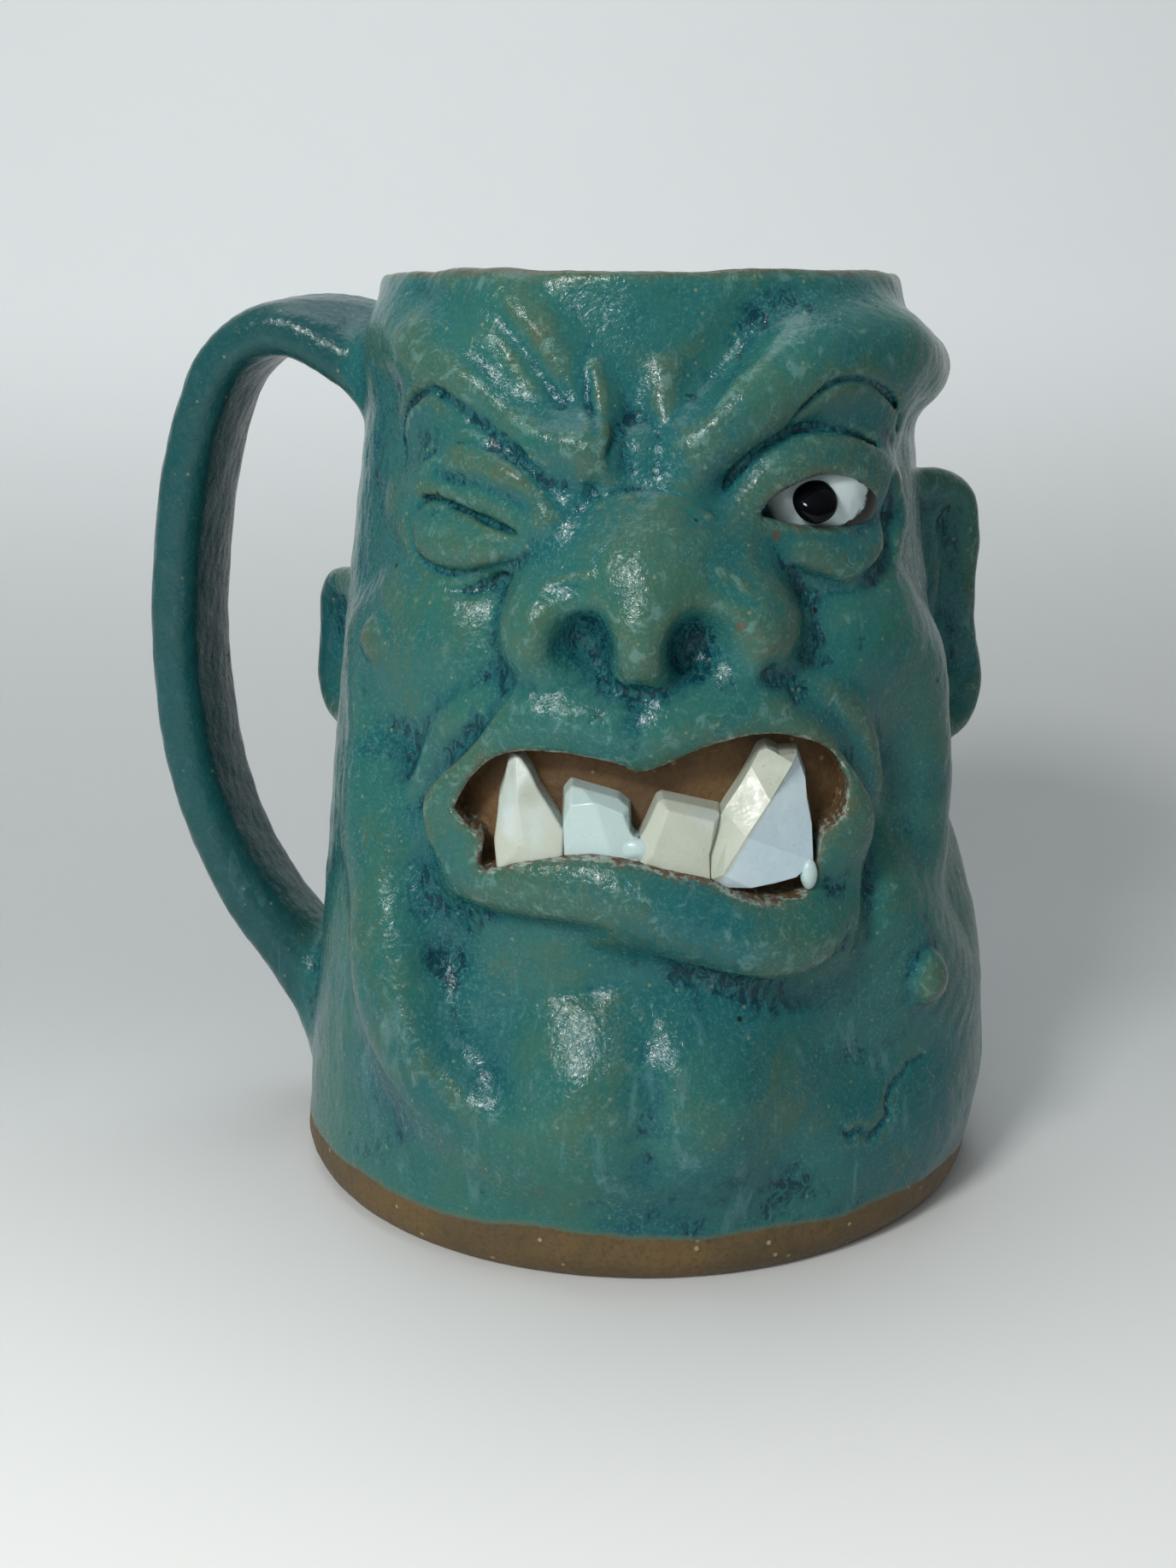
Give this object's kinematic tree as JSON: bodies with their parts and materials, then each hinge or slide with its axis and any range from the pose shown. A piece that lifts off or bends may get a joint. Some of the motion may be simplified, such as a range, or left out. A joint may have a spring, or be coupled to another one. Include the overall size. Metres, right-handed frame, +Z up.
{
  "type": "stoneware face mug",
  "caption": "Tall wheel-thrown stoneware mug with a pulled strap handle and an applied ogre face, one eye winking, with broken porcelain teeth, under a satin teal glaze.",
  "frame": {"origin": "centre of the foot, on the surface that the mug stands on", "axes": "+Z up along the axis the pot was thrown on; the face looks along -Y; the handle is on the -X side, turned 10 degrees towards +Y; left and right in the node names are the viewer's, left -X and right +X"},
  "size_m": [0.1339, 0.1149, 0.14],
  "materials": {
    "teal_glaze": "satin teal glaze, darker where it pools and olive brown where it thins",
    "bare_stoneware": "bare dark brown stoneware, dull",
    "porcelain": "white porcelain shard, glossy",
    "eye_white": "white glazed clay, glossy",
    "pupil_black": "black glaze bead, very glossy"
  },
  "bodies": {
    "root": {"mug_body": "teal_glaze", "handle": "teal_glaze", "ear_left": "teal_glaze", "ear_right": "teal_glaze", "upper_lip": "teal_glaze", "lower_lip": "teal_glaze", "nose": "teal_glaze", "nostril_left": "teal_glaze", "nostril_right": "teal_glaze", "brow_left": "teal_glaze", "brow_right": "teal_glaze", "frown_fold_outer": "teal_glaze", "frown_fold_inner": "teal_glaze", "brow_knob": "teal_glaze", "wink_upper_lid": "teal_glaze", "wink_lower_lid": "teal_glaze", "open_upper_lid": "teal_glaze", "open_lower_lid": "teal_glaze", "cheek_left": "teal_glaze", "cheek_right": "teal_glaze", "chin_left": "teal_glaze", "chin_right": "teal_glaze", "jaw_fold_left": "teal_glaze", "jowl_right": "teal_glaze", "wart_cheek": "teal_glaze", "wart_jaw": "teal_glaze", "gum_bed": "bare_stoneware", "tusk_left": "porcelain", "incisor_left": "porcelain", "incisor_right": "porcelain", "tusk_right": "porcelain", "eyeball": "eye_white", "pupil": "pupil_black"}
  },
  "joints": []
}
